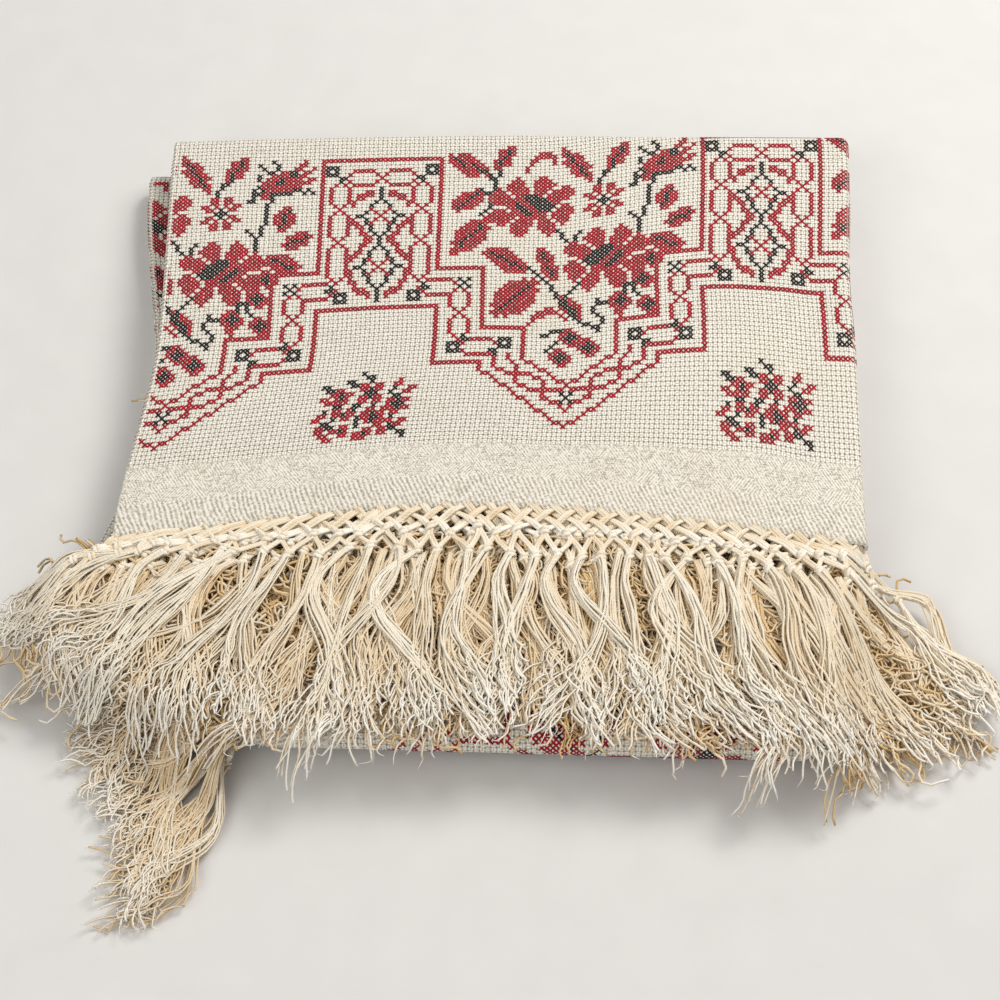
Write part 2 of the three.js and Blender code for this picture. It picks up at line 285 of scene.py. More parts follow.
class Figure:
    """A shader socket that can be written in sums."""

    def __init__(self, finish, socket):
        self.finish = finish
        self.socket = socket

    def maths(self, operation, *others):
        return self.finish.maths(operation, self, *others)

    def __rsub__(self, other):
        return self.finish.maths("SUBTRACT", other, self)

    __add__ = __radd__ = partialmethod(maths, "ADD")
    __sub__ = partialmethod(maths, "SUBTRACT")
    __mul__ = __rmul__ = partialmethod(maths, "MULTIPLY")
    __truediv__ = partialmethod(maths, "DIVIDE")
    __pow__ = partialmethod(maths, "POWER")
    __mod__ = partialmethod(maths, "FLOORED_MODULO")
    below = partialmethod(maths, "LESS_THAN")
    least = partialmethod(maths, "MINIMUM")
    whole = partialmethod(maths, "FLOOR")
    part = partialmethod(maths, "FRACT")
    size = partialmethod(maths, "ABSOLUTE")

    def wave(self):
        """A wave from 0 to 1 with a crest at every whole number."""
        return (self * math.tau).maths("COSINE") * 0.5 + 0.5

    def between(self, low, high):
        """A soft step from 0 at low to 1 at high."""
        return self.finish.node(
            "ShaderNodeMapRange",
            {"interpolation_type": "SMOOTHSTEP"},
            {"Value": self, "From Min": low, "From Max": high},
        )


class Finish:
    """A procedural material for one of the cloth's pieces."""

    def __init__(self, name, roughness, sheen):
        self.material = bpy.data.materials.new(name)
        self.material.use_nodes = True
        self.tree = self.material.node_tree
        self.shader = self.tree.nodes["Principled BSDF"]
        self.shader.inputs["Roughness"].default_value = roughness
        self.shader.inputs["Sheen Weight"].default_value = sheen
        self.shader.inputs["Sheen Roughness"].default_value = 0.6
        self.shader.inputs["Specular IOR Level"].default_value = 0.25

    def feed(self, socket, value):
        if isinstance(value, Figure):
            self.tree.links.new(value.socket, socket)
        else:
            socket.default_value = value

    def node(self, kind, settings, inputs, output=0):
        made = self.tree.nodes.new(kind)
        for name, value in settings.items():
            setattr(made, name, value)
        for key, value in inputs.items():
            self.feed(made.inputs[key], value)
        return Figure(self, made.outputs[output])

    def maths(self, operation, *values):
        return self.node("ShaderNodeMath", {"operation": operation}, dict(enumerate(values)))

    def mix(self, share, colour, other):
        settings = {"data_type": "RGBA", "clamp_factor": True}
        return self.node("ShaderNodeMix", settings, {0: share, 6: colour, 7: other}, 2)

    def noise(self, place, scale, detail):
        return self.node("ShaderNodeTexNoise", {}, {"Vector": place, "Scale": scale, "Detail": detail})

    def objects_place(self):
        return self.node("ShaderNodeTexCoord", {}, {}, "Object")

    def flat_place(self, layer):
        place = self.node("ShaderNodeUVMap", {"uv_map": layer}, {})
        return [self.node("ShaderNodeSeparateXYZ", {}, {0: place}, axis) for axis in (0, 1)]

    def shade(self, colour, height, depth, strength):
        self.feed(self.shader.inputs["Base Color"], colour)
        bump = {"Height": height, "Distance": depth, "Strength": strength}
        self.feed(self.shader.inputs["Normal"], self.node("ShaderNodeBump", {}, bump))


def dye(red, green, blue):
    """A colour as it looks, from 0 to 255, made linear."""
    def linear(level):
        level = level / 255
        return level / 12.92 if level <= 0.04045 else ((level + 0.055) / 1.055) ** 2.4
    return (linear(red), linear(green), linear(blue), 1)


# The cream of the weave and two darker creams, which are painted shade where its threads lie low and in
# its corner holes
CREAM = dye(251, 247, 236)
CREAM_HALF_SHADE = dye(198, 190, 174)
CREAM_SHADE = dye(130, 118, 98)
# The figured band's cream and a darker tone, which is painted shade in the low lines of its twill and
# figure
BAND_CREAM = dye(238, 233, 222)
BAND_SHADE = dye(160, 151, 134)
TEA_STAIN = dye(226, 208, 172)
# Yarn colours: the gold is partly painted shade for yarns that lie low, partly golden specks of the
# cotton's own
YARN_CREAM = dye(247, 241, 226)
YARN_GOLD_AND_SHADE = dye(214, 172, 94)
YARN_WHITE = dye(252, 249, 241)
# Thread colours, each with a darker tone that is partly painted shade between its strands and partly
# darker stitches at random
CRIMSON = dye(192, 14, 40)
CRIMSON_DEEP_AND_SHADE = dye(122, 4, 24)
BLACK_THREAD = dye(36, 33, 36)
BLACK_DEEP_AND_SHADE = dye(12, 11, 13)
FIGURE_REPEAT = 19


def weave_finish():
    """Cream cotton in a block weave, with a figured band along every edge."""
    finish = Finish("cream_block_weave", 0.88, 0.2)
    u, v = finish.flat_place("cells")
    wide, long = CLOTH_WIDTH / CELL, CLOTH_LENGTH / CELL
    from_sides = u.least(wide - u)
    from_hems = v.least(long - v)
    from_edge = from_sides.least(from_hems)
    by_side = from_sides.below(from_hems)
    edgeways = u + (v - u) * by_side

    # Blocks of paired threads that pass over and under each other, with a hole at every corner
    across, along = u.part(), v.part()
    turned = (u.whole() + v.whole()) % 2
    bulge_u = (across * math.pi).maths("SINE")
    bulge_v = (along * math.pi).maths("SINE")
    threads_u = ((across * math.tau).maths("SINE")).size()
    threads_v = ((along * math.tau).maths("SINE")).size()
    warp = (threads_u ** 0.6) * (bulge_v ** 0.5)
    weft = (threads_v ** 0.6) * (bulge_u ** 0.5)
    blocks = weft + (warp - weft) * turned
    for stretch_u, stretch_v in ((1.0, 0.07), (0.07, 1.0)):
        thread_place = finish.node("ShaderNodeCombineXYZ", {}, {0: u * stretch_u, 1: v * stretch_v})
        blocks = blocks * (0.7 + finish.noise(thread_place, 1.7, 1) * 0.6)
    corner_u = 0.5 - (across - 0.5).size()
    corner_v = 0.5 - (along - 0.5).size()
    hole = 1 - ((corner_u * corner_u + corner_v * corner_v) ** 0.5).between(0.1, 0.32)
    hole = hole * (0.35 + finish.noise(finish.objects_place(), 420, 1))

    # Twill next to the hem, and above it a woven figure that shows by the lie of its threads
    place = finish.objects_place()
    drift = finish.noise(place, 45, 3) * 2.2
    ribs = (edgeways * 1.02 + from_edge * 0.42 + drift).wave()
    twill = ribs * (0.55 + (from_edge * 2.6 - edgeways * 1.3).wave() * 0.45) * 0.8 + 0.15
    mirrored = ((edgeways / FIGURE_REPEAT).part() - 0.5).size() * FIGURE_REPEAT
    figure_place = finish.node("ShaderNodeCombineXYZ", {}, {0: mirrored, 1: from_edge * 1.3})
    leaf = finish.noise(figure_place, 0.3, 1)
    right_lie = (edgeways * 1.5 + from_edge * 1.1).wave()
    left_lie = (edgeways * 1.5 - from_edge * 1.1).wave()
    dots = (edgeways * 2 + from_edge).wave() * (from_edge * 2).wave()
    figure = dots + (right_lie - dots) * leaf.between(0.5, 0.54)
    figure = figure + (left_lie - figure) * (1 - leaf.between(0.4, 0.44))
    figure = figure * 0.6 + 0.25
    in_figure = from_edge.between(TWILL_CELLS - 0.3, TWILL_CELLS + 0.3)
    band = twill + (figure - twill) * in_figure
    in_band = 1 - from_edge.between(BAND_CELLS - 0.4, BAND_CELLS + 0.4)
    ground_height = blocks - hole * 0.8
    height = ground_height + (band * 0.5 + 0.3 - ground_height) * in_band

    cloud = finish.noise(place, 14, 4)
    slub = finish.noise(place, 900, 2)
    grain = (slub - 0.5) * 1.7
    # Painted shade: the ground darkens where the threads of the blocks lie low, and darkest in the holes
    # at the corners; the slub grain mixed in is the cotton's own unevenness
    ground = finish.mix((blocks * 0.85 + grain).between(0.0, 0.9), CREAM_HALF_SHADE, CREAM)
    ground = finish.mix(hole * 0.9, ground, CREAM_SHADE)
    # Painted shade: the band darkens in the low lines of its twill and figure, with the cotton's own
    # slub grain mixed in
    figured = finish.mix((band * 0.7 + 0.12 + grain * 0.8).between(0.0, 0.75), BAND_SHADE, BAND_CREAM)
    colour = finish.mix(in_band, ground, figured)
    colour = finish.mix(cloud.between(0.5, 0.85) * 0.2, colour, TEA_STAIN)
    finish.shade(colour, height + slub * 0.3, 0.45 * MM, 0.9)
    return finish.material


def thread_finish(name, colour, deep_and_shade):
    """Embroidery cotton with its strands side by side."""
    finish = Finish(name, 0.65, 0.0)
    lengthways, around = finish.flat_place("thread")
    strand = finish.node("ShaderNodeAttribute", {"attribute_name": "strand"}, {}, "Fac")
    lay = (around * 4 + lengthways * 0.8 + strand).wave()
    worn = finish.noise(finish.objects_place(), 60, 3)
    # Painted shade between the strands of the thread's lay, mixed with a darker or lighter tone for each
    # stitch at random
    shade = finish.mix(lay * 0.6 + strand * 0.4, deep_and_shade, colour)
    shade = finish.mix(worn.between(0.62, 0.95) * 0.1, shade, CREAM)
    finish.shade(shade, lay, 0.12 * MM, 0.8)
    return finish.material


def yarn_finish():
    """Soft plied cotton yarn, golden as painted shade where it lies low in the fringe and whiter where
    it is ravelled.
    """
    finish = Finish("cream_fringe_yarn", 0.85, 0.05)
    lengthways, around = finish.flat_place("thread")
    strand = finish.node("ShaderNodeAttribute", {"attribute_name": "strand"}, {}, "Fac")
    ravel = finish.node("ShaderNodeAttribute", {"attribute_name": "ravel"}, {}, "Fac")
    plies = (around * 2 + lengthways * 0.55).wave()
    fuzz = finish.noise(finish.objects_place(), 300, 3)
    # Painted shade: the yarn's tone, lower for yarns that lie low in the fringe or in their bundle,
    # turns it golden, and so do the grooves between its plies; the ends whiten only as far as that tone
    # is high, so they are whitest on the top yarns; the golden specks of fuzz are the cotton's own
    body = finish.mix(strand * 0.85 + plies * 0.15, YARN_GOLD_AND_SHADE, YARN_CREAM)
    body = finish.mix(ravel.between(0.5, 1.0) * strand.between(0.1, 0.7) * 0.9, body, YARN_WHITE)
    body = finish.mix(fuzz.between(0.55, 0.8) * 0.15, body, YARN_GOLD_AND_SHADE)
    finish.shade(body, plies + fuzz * 0.4, 0.15 * MM, 0.4)
    return finish.material


NEARLY_UP = (0.11, 0.07, 0.99)


class Bundle:
    """Many small soft things that become one mesh."""

    def __init__(self):
        self.points = []
        self.faces = []
        self.flat = []
        self.strand = []
        self.ravel = []
        self.count = 0

    def add(self, points, faces, flat, strand, ravel):
        points = points.reshape(-1, 3)
        self.points.append(points)
        self.faces.extend((np.asarray(faces) + self.count).tolist())
        self.flat.append(np.asarray(flat, float).reshape(-1, 2))
        self.strand.append(np.broadcast_to(strand, points.shape[:1]))
        self.ravel.append(np.broadcast_to(ravel, points.shape[:1]))
        self.count += len(points)

    def tubes(self, paths, radius, sides, flatness=1.0, ravelled=False, tone=None):
        """Closed tubes along rows of points, flatness times as thick as they are wide."""
        number, steps, _ = paths.shape
        radius = np.broadcast_to(radius, (number, steps))
        ahead = unit(np.gradient(paths, axis=1))
        sideways = unit(np.cross(ahead, NEARLY_UP))
        rise = np.cross(sideways, ahead) * flatness
        turn = math.tau * np.arange(sides) / sides
        ring = (
            np.cos(turn)[:, None] * sideways[:, :, None, :]
            + np.sin(turn)[:, None] * rise[:, :, None, :]
        )
        points = paths[:, :, None, :] + ring * radius[:, :, None, None]
        index = np.arange(number * steps * sides).reshape(number, steps, sides)
        near, far = index[:, :-1], index[:, 1:]
        walls = np.stack([near, far, np.roll(far, -1, 2), np.roll(near, -1, 2)], -1)
        lengths = np.linalg.norm(np.diff(paths, axis=1), axis=-1)
        places = np.concatenate([np.zeros((number, 1)), np.cumsum(lengths, 1)], 1) / MM
        low = np.broadcast_to(places[:, :-1, None], walls.shape[:3])
        high = np.broadcast_to(places[:, 1:, None], walls.shape[:3])
        left = np.broadcast_to(np.arange(sides) / sides, walls.shape[:3])
        right = left + 1 / sides
        flat = np.stack([low, left, high, left, high, right, low, right], -1)
        strand = UNEVEN.random(number) if tone is None else tone
        ravel = np.ones(steps) if ravelled else np.linspace(0, 1, steps)
        strand = np.repeat(strand, steps * sides)
        ravel = np.tile(np.repeat(ravel, sides), number)
        self.add(points, walls.reshape(-1, 4), flat, strand, ravel)
        ends = np.concatenate([index[:, 0], index[:, -1, ::-1]]) - index.size
        self.faces.extend((ends + self.count).tolist())
        self.flat.append(np.zeros((ends.size, 2)))

    def piece(self, name, finish):
        mesh = bpy.data.meshes.new(name)
        mesh.from_pydata(np.concatenate(self.points).tolist(), [], self.faces)
        layer = mesh.uv_layers.new(name="thread")
        layer.data.foreach_set("uv", np.concatenate(self.flat).ravel().astype(np.float32))
        for word, values in (("strand", self.strand), ("ravel", self.ravel)):
            attribute = mesh.attributes.new(word, "FLOAT", "POINT")
            attribute.data.foreach_set("value", np.concatenate(values).astype(np.float32))
        return finished(name, mesh, finish)


def finished(name, mesh, finish):
    mesh.materials.append(finish)
    mesh.shade_smooth()
    piece = bpy.data.objects.new(name, mesh)
    bpy.context.scene.collection.objects.link(piece)
    return piece


def on_part(piece, slot, *nodes):
    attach(piece, "root")
    if nodes:
        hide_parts(*nodes)
    return piece


def grid_lines(runs):
    """Places along the flat cloth where its mesh has a line, close together where it shows."""
    lines = [0.0]
    for run, start in zip(runs, starts(runs)):
        lines.extend(start + run["length"] * np.arange(1, run["steps"] + 1) / run["steps"])
    return np.array(lines)


def folded_cloth():
    """The sheet: a flat grid on each face, joined round the edge and folded into the pack."""
    columns, rows = grid_lines(ACROSS), grid_lines(ALONG)
    counts = {"x_segments": len(columns) - 1, "y_segments": len(rows) - 1, "size": 0.5}
    sheet = bmesh.new()
    for side in (1, -1):
        made = bmesh.ops.create_grid(sheet, matrix=Matrix.Translation((0, 0, side)), **counts)
        if side < 0:
            faces = {face for vertex in made["verts"] for face in vertex.link_faces}
            bmesh.ops.reverse_faces(sheet, faces=list(faces))
    rim = [edge for edge in sheet.edges if edge.is_boundary]
    bmesh.ops.bridge_loops(sheet, edges=rim)
    mesh = bpy.data.meshes.new("cloth_sheet")
    sheet.to_mesh(mesh)
    sheet.free()
    flat = np.empty(len(mesh.vertices) * 3)
    mesh.vertices.foreach_get("co", flat)
    flat = flat.reshape(-1, 3)
    u = columns[np.rint((flat[:, 0] + 0.5) * (len(columns) - 1)).astype(int)]
    v = rows[np.rint((flat[:, 1] + 0.5) * (len(rows) - 1)).astype(int)]
    points = folded(u, v, np.sign(flat[:, 2]) * CLOTH_THICKNESS / 2)
    mesh.vertices.foreach_set("co", points.ravel())
    corners = np.empty(len(mesh.loops), dtype=np.int32)
    mesh.loops.foreach_get("vertex_index", corners)
    layer = mesh.uv_layers.new(name="cells")
    cells = np.stack([u, v], -1)[corners] / CELL
    layer.data.foreach_set("uv", cells.ravel().astype(np.float32))
    mesh.update()
    return finished("cloth_sheet", mesh, weave_finish())


# The embroidery, counted out on the weave
class Chart:
    def __init__(self):
        self.cells = {}

    def put(self, colour, column, row):
        self.cells[(round(column), round(row))] = colour

    def line(self, colour, *points):
        for (x0, y0), (x1, y1) in zip(points, points[1:]):
            steps = max(1, round(max(abs(x1 - x0), abs(y1 - y0))))
            for k in range(steps + 1):
                self.put(colour, x0 + (x1 - x0) * k / steps, y0 + (y1 - y0) * k / steps)

    def ribbed_leaf(self, x, y, turn, length, width):
        """A lens of red stitches, pointed at both ends, with a black rib."""
        c, s = math.cos(math.radians(turn)), math.sin(math.radians(turn))
        reach = math.ceil(length / 2)
        for column in range(round(x) - reach, round(x) + reach + 1):
            for row in range(round(y) - reach, round(y) + reach + 1):
                a = ((column - x) * c + (row - y) * s) * 2 / length
                b = ((row - y) * c - (column - x) * s) * 2 / width
                if abs(a) <= 1 and abs(b) <= 1.08 - a * a - 0.2 * ((column + row) % 2):
                    self.put("red", column, row)
        half = length * 0.28
        self.line("black", (x - half * c, y - half * s), (x + half * c, y + half * s))

    def star(self, x, y):
        for dx, dy in ((0, 0), (1, 1), (-1, 1), (1, -1), (-1, -1)):
            self.put("black", x + dx, y + dy)

    def pin(self, x, y, dx, dy):
        """A knot: a ring of stitches with a crossed tail towards dx, dy."""
        for a in (-1, 0, 1):
            for b in (-1, 0, 1):
                if a or b:
                    self.put("black", x + a, y + b)
        for a, b in ((2, 2), (3, 2), (2, 3)):
            self.put("black", x + a * dx, y + b * dy)

    def links(self, half, *nodes):
        """Six-sided chain links that cross at the nodes."""
        for (x0, y0), (x1, y1) in zip(nodes, nodes[1:]):
            length = math.hypot(x1 - x0, y1 - y0)
            ux, uy = (x1 - x0) / length, (y1 - y0) / length
            for side in (half, -half):
                sx, sy = -uy * side, ux * side
                self.line(
                    "red",
                    (x0, y0),
                    (x0 + half * ux + sx, y0 + half * uy + sy),
                    (x1 - half * ux + sx, y1 - half * uy + sy),
                    (x1, y1),
                )

    def stamp(self, rows, x, y, mirrored=False):
        """A small drawing in letters, with its middle at x and y."""
        colours = {"r": "red", "k": "black"}
        for down, row in enumerate(rows):
            for k, letter in enumerate(reversed(row) if mirrored else row):
                if letter in colours:
                    self.put(colours[letter], x + k - len(row) // 2, y + len(rows) // 2 - down)


REPEAT = 84
POINT_COLUMN = 14
PANEL_COLUMN = POINT_COLUMN - REPEAT // 2
OUTER_LINE = ((0, 20), (19, 34), (19, 36), (29, 36), (29, 51), (42, 51))
INNER_LINE = ((0, 30), (10, 37), (10, 45), (19, 45), (19, 61), (29, 61), (29, 92), (42, 92))
POINT_STRANDS = (
    ((0, 24), (4, 27), (5, 27), (5, 31), (8, 33), (13, 33), (16, 35), (16, 38)),
    ((1, 29), (8, 29), (11, 31), (11, 35), (13, 37), (13, 38)),
)
FLOWER = """
......r....rr......
.....rrr..rrrr.....
....rrrr..rrrrr....
..r.rrrrr.rrrr..rr.
.rrr.rrrr.rrr.rrrrr
rrrrr.rrkkkr.rrrrrr
rrrrrrrrkkkkkrrrrr.
.rrrrrkrrkkkkkrr...
....rrkkrrkkkkk.rr.
.rrr.rrkkrrkkk.rrrr
rrrrrrrrkkrrr.rrrrr
rrrrrr.rrrrrr.rrrr.
.rrrr.rrrr.rrr.rrr.
..rr.rrrrr.rrrr.r..
.....rrrr..rrrr....
.....rrrr...rrr....
......rr.....r.....
""".split()
STAR_FLOWER = """
..rr.rr..
..rr.rr..
rr.r.r.rr
.rr.k.rr.
...kkk...
.rr.k.rr.
rr.r.r.rr
..rr.rr..
..rr.rr..
""".split()
ROSEBUD = """
.....k......r..
..k...k....rr..
...k..k...rr..r
....kk.rrkk.rr.
..k..rrrrkkrr..
..k.rrrkrrrr.rr
...rrrkkrrrrrr.
..krrrrrrrrr...
.k.krrrrrrkk.k.
.kkrrkkkkk..k.k
.k.rr..........
kk.............
""".split()
BERRY = """
.rr..
rrkr.
rkkkr
.rkrr
..rr.
""".split()
SPRIG = """
.........k...........
..........kk.........
......kk...k.....r...
.kk....kkrr.rr..rr...
..kkrr...rrkrr..k..rr
...rrkrr..kkk..k..rr.
.rr.rkr..rrkrr..kk...
..rrrrr..rr.rr.rrkrr.
....kk..kk..k..rkkk..
..k.rr.rk..rr.rrrkrr.
.rr.rrkrr.rrkrr.rr...
rr..k.rr.krrkkr.k....
..kk.....k.rkrrrr.rr.
.rrkk.rr.k...rr.krr..
.rr.rrkr...rr.rrkk...
..rr..rr.rrkr.rr..kk.
...rr....rrr.......k.
""".split()
LEAVES = (
    (-23, 90, -32, 11, 6), (-15, 92, 62, 8, 4), (-23, 80, 38, 9, 5), (-22, 70, 52, 14, 6),
    (-14, 63, -30, 12, 6), (-5, 62, -62, 11, 4), (-12, 53, 44, 15, 8), (1, 89, -58, 12, 5),
    (21, 76, 70, 8, 5), (24, 70, 20, 8, 5), (21, 64, -20, 9, 5), (0, 50, -55, 8, 4), (10, 90, 60, 9, 5),
)
STEMS = (
    ((-19, 88), (-17, 85), (-17, 80), (-20, 76)),
    ((-16, 88), (-17, 85)),
    ((-20, 83), (-17, 81)),
    ((-3, 71), (0, 67), (2, 65)),
    ((0, 67), (2, 70)),
    ((-9, 61), (-4, 56), (-2, 51), (1, 47), (6, 43)),
    ((-2, 51), (0, 54), (3, 57)),
    ((6, 43), (7, 46), (5, 48), (6, 51), (8, 50)),
    ((15, 67), (15, 71), (17, 75), (17, 79), (18, 82)),
    ((15, 71), (13, 73)),
    ((6, 83), (7, 86), (9, 87)),
    ((10, 55), (13, 54), (15, 55)),
    ((10, 57), (12, 53), (11, 50)),
    ((13, 54), (17, 48)),
    ((-6, 43), (-3, 44), (0, 43)),
    ((-5, 39), (-2, 42)),
)
HOOKS = (
    ((-10, 88), (-9, 91), (-7, 93), (-5, 93), (-4, 91), (-4, 90)),
    ((-9, 46), (-7, 49), (-4, 50), (-1, 47)),
    ((6, 50), (9, 50), (11, 47), (10, 44)),
)
BERRIES = ((16, 55), (11, 50), (17, 48), (0, 42), (4, 39), (-2, 37), (18, 60))


def beside(middle, side):
    """Moves points that are drawn right of a middle column to their place on either side."""
    return lambda points: [(middle + side * x, y) for x, y in points]


def chart_point(chart, middle):
    """Double line with its chain, round the point and up to the panels on both sides."""
    for side in (1, -1):
        at = beside(middle, side)
        for strand in POINT_STRANDS:
            chart.line("red", *at(strand))
        chart.links(2, *at(((15, 40), (24, 40))))
        chart.links(2, *at(((24, 42), (24, 49), (24, 56))))
        chart.links(2, *at(((24, 56), (33, 56))))
        chart.line("red", *at(OUTER_LINE))
        chart.line("red", *at(INNER_LINE))
        chart.pin(middle + side * 14, 41, side, -1)
        chart.pin(middle + side * 25, 40, -side, 1)
        chart.star(middle + side * 23, 57)
    chart.star(middle, 27)


def chart_panel(chart, middle):
    """Upright panel of two diamonds between brackets and chains."""
    for side in (1, -1):
        at = beside(middle, side)
        chart.links(2, *at(((9, 86), (9, 78), (9, 69), (9, 58))))
        chart.links(2, *at(((0, 87), (8, 87))))
        for thick in (0, 1):
            chart.line("red", *at(((2, 83 - thick), (5, 82 - thick), (6, 79 + thick))))
            chart.line("red", *at(((6, 75 - thick), (2, 70 - thick), (6, 65 - thick))))
            chart.line("red", *at(((6, 60 + thick), (5, 56 + thick), (2, 54 + thick))))
        chart.pin(middle + side * 11, 89, -side, -1)
        chart.pin(middle + side * 8, 54, side, 1)
        for low, centre, high in ((55, 62, 69), (69, 76, 82)):
            chart.line("black", *at(((0, low), (1, low + 2), (4, centre), (1, high - 2), (0, high))))
            chart.put("black", middle + side * 5, centre)
            for out in (1, 2):
                for up in (out, -out):
                    chart.put("red", middle + out * side, centre + up)
    for centre in (62, 76):
        chart.put("red", middle, centre)
    chart.line("black", (middle, 83), (middle, 84))
    chart.line("black", (middle, 53), (middle, 54))


def chart_bouquet(chart, middle):
    """Two open flowers, with buds, berries and ribbed leaves on black stems."""
    for x, y, turn, length, width in LEAVES:
        chart.ribbed_leaf(middle + x, y, turn, length, width)
    for colour, table in (("red", HOOKS), ("black", STEMS)):
        for points in table:
            chart.line(colour, *((middle + x, y) for x, y in points))
    for points in HOOKS:
        chart.line("red", *((middle + x, y - 1) for x, y in points[1:-1]))
    chart.stamp(FLOWER, middle - 9, 78)
    chart.stamp(FLOWER, middle + 8, 62, True)
    chart.stamp(STAR_FLOWER, middle + 7, 78)
    chart.stamp(ROSEBUD, middle + 20, 86)
    for x, y in BERRIES:
        chart.stamp(BERRY, middle + x, y)


def embroidery():
    chart = Chart()
    for repeat in (-1, 0, 1):
        shift = repeat * REPEAT
        chart_bouquet(chart, POINT_COLUMN + shift)
        chart_point(chart, POINT_COLUMN + shift)
        chart_panel(chart, PANEL_COLUMN + shift)
        chart.stamp(SPRIG, PANEL_COLUMN + shift, 26)
    chart_panel(chart, PANEL_COLUMN + 2 * REPEAT)
    return chart.cells


# Where the border shows, in cells of the chart: on the top panel, along the last side edge where it
# rolls over the front fold, at the front left corner and at the left edge of the third panel
TOP_COLUMNS = (-82, 82)
FRONT_PHASE = -8
FRONT_STEPS = (-14, 6)
FRONT_ROWS = 96
CORNER_COLUMNS = 16
CORNER_FIRST_ROW = 72
CORNER_ROWS = 14
CORNER_PAST_FOLD = 3
STRIP_FIRST_COLUMN = -78
STRIP_COLUMNS = 10
STRIP_LAST_ROW = 92
STRIP_ROWS = 70
FRONT_FOLD_ROW = (ALONG_STARTS[3] + ALONG_STARTS[4]) / 2


def on_top(column, row):
    if TOP_COLUMNS[0] <= column <= TOP_COLUMNS[1]:
        return TOP_MIDDLE + column * CELL, (row + 0.5) * CELL


def on_front_fold(column, row):
    step = column - POINT_COLUMN - FRONT_PHASE
    if FRONT_STEPS[0] <= step <= FRONT_STEPS[1] and row < FRONT_ROWS:
        return CLOTH_WIDTH - (row + 0.5) * CELL, FRONT_FOLD_ROW + step * CELL


def on_front_corner(column, row):
    across, along = column - POINT_COLUMN + CORNER_COLUMNS, row - CORNER_FIRST_ROW
    if 0 <= across <= CORNER_COLUMNS and 0 <= along <= CORNER_ROWS:
        u = ACROSS_STARTS[TOP_LAYER - 1] - (across + 0.5) * CELL
        return u, FRONT_FOLD_ROW - (along - CORNER_PAST_FOLD) * CELL


def on_third_panel(column, row):
    across, along = column - STRIP_FIRST_COLUMN, STRIP_LAST_ROW - row
    if 0 <= across <= STRIP_COLUMNS and 0 <= along <= STRIP_ROWS:
        u = ACROSS_STARTS[TOP_LAYER] + (across - 1) * CELL
        return u, ALONG_STARTS[5] - (along + 0.5) * CELL


def worked_cells(cells):
    """Stitches that show, as places on the flat cloth with their colour."""
    worked = []
    for place in (on_top, on_front_fold, on_front_corner, on_third_panel):
        for (column, row), colour in cells.items():
            spot = place(column, row)
            if spot:
                worked.append((*spot, colour))
    return worked


STITCH_WIDTH = 0.45 * MM
STITCH_RISE = 0.2 * MM
STITCH_OFF = 0.05 * MM
STITCH_OVER = 0.12 * MM
STITCH_WOBBLE = 0.09 * MM
STITCH_PROFILE = ((-1.0, 0.0), (-0.6, 0.85), (0.6, 0.85), (1.0, 0.0))
STITCH_STATIONS = ((-0.04, 0.1), (0.22, 0.95), (0.78, 0.95), (1.04, 0.1))


def cross_stitches(bundle, worked):
    """Two crossing threads for each stitch, which dive into the weave at its corners."""
    u, v = (np.array([stitch[k] for stitch in worked]) for k in (0, 1))
    number = len(worked)
    half = CELL / 2
    corner = {
        (a, b): folded(u + a * half, v + b * half, RIGHT_SIDE + STITCH_OFF)
        for a in (-1, 1)
        for b in (-1, 1)
    }
    facing = unit(np.cross(corner[1, 1] - corner[-1, -1], corner[-1, 1] - corner[1, -1]))
    shape = (number, len(STITCH_STATIONS), len(STITCH_PROFILE))
    index = np.arange(np.prod(shape)).reshape(shape)
    near, far = index[:, :-1], index[:, 1:]
    walls = np.stack([near[..., :-1], near[..., 1:], far[..., 1:], far[..., :-1]], -1).reshape(-1, 4)
    strand = UNEVEN.random(number)
    for leg, ends in enumerate((((-1, -1), (1, 1)), ((1, -1), (-1, 1)))):
        start, stop = (corner[end] for end in ends)
        way = stop - start
        sideways = unit(np.cross(facing, way))
        wobble = UNEVEN.normal(0, STITCH_WOBBLE, (number, 1))
        points = np.empty(shape + (3,))
        flat = np.empty(shape + (2,))
        for s, (station, rise) in enumerate(STITCH_STATIONS):
            over = leg * STITCH_OVER if rise > 0.5 else 0
            for p, (out, up) in enumerate(STITCH_PROFILE):
                lift = STITCH_RISE * rise * up + over
                aside = sideways * (out * STITCH_WIDTH + wobble)
                points[:, s, p] = start + way * station + aside + facing * lift
                flat[:, s, p] = (station * 3, p / 3)
        bundle.add(points, walls, flat.reshape(-1, 2)[walls], np.repeat(strand, shape[1] * shape[2]), 0)


# The fringe: cords crossed and knotted below the hem, then loose tassels
FRINGE_LENGTH = 113 * MM
KNOT_PITCH = 10 * MM
FIRST_KNOTS = 12.5 * MM
SECOND_KNOTS = 21 * MM
CORD_RADIUS = 1.5 * MM
CORD_YARN_RADIUS = 0.82 * MM
CORD_YARN_APART = 1.3 * MM
KNOT_RADIUS = 1.8 * MM
KNOT_YARN_RADIUS = 1.15 * MM
YARN_RADIUS = 0.58 * MM
LOCKS = 4
FIBRE_RADIUS = 0.24 * MM
FIBRE_LENGTH = 3 * MM
SECOND_PANEL_TOP = 2 * PANEL_PITCH + STACK
FLOOR_REACH = 36 * MM
LOWEST = 0.95 * MM
DROOP = 4.5 * MM
DROOP_MIDDLE = 15 * MM
DROOP_REACH = 50 * MM
SETTLE_REACH = 34 * MM
RIM_ROOM = 3 * MM
ROOT_INSET = 1.2 * MM
SHORTEST_RUN = 20 * MM
TASSEL_WAVES = ((1, 6.5 * MM), (2, 4.2 * MM), (3, 1.5 * MM))
WILD_SHARE = 0.16
WILD_SWAY = 2.5
CORD_OVER = 0.9 * MM
